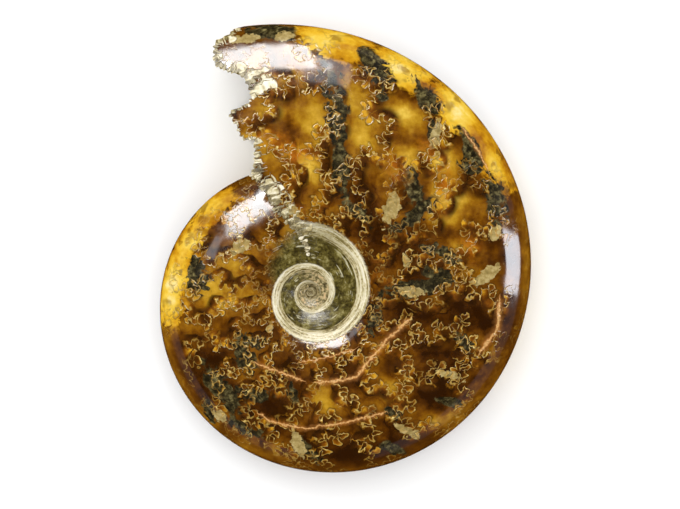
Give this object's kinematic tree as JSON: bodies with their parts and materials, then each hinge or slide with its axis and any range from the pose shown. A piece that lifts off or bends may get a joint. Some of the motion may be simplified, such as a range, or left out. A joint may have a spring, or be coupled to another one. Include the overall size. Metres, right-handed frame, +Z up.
{
  "type": "ammonite fossil",
  "caption": "Polished ammonite fossil lying on its flank: a tightly coiled shell with a stepped umbilicus and a broken outer end, a natural display piece.",
  "frame": {"origin": "centre of the bounding box, on the surface the fossil lies on", "axes": "+Z up, along the coil axis to within its small lean; +Y towards the broken end of the last whorl; +X to the right of that when looked down on"},
  "size_m": [0.0832, 0.1006, 0.0262],
  "materials": {
    "calcite": "polished amber, brown and grey-green calcite with cream suture lines"
  },
  "bodies": {
    "root": {"ammonite": "calcite"}
  },
  "joints": []
}
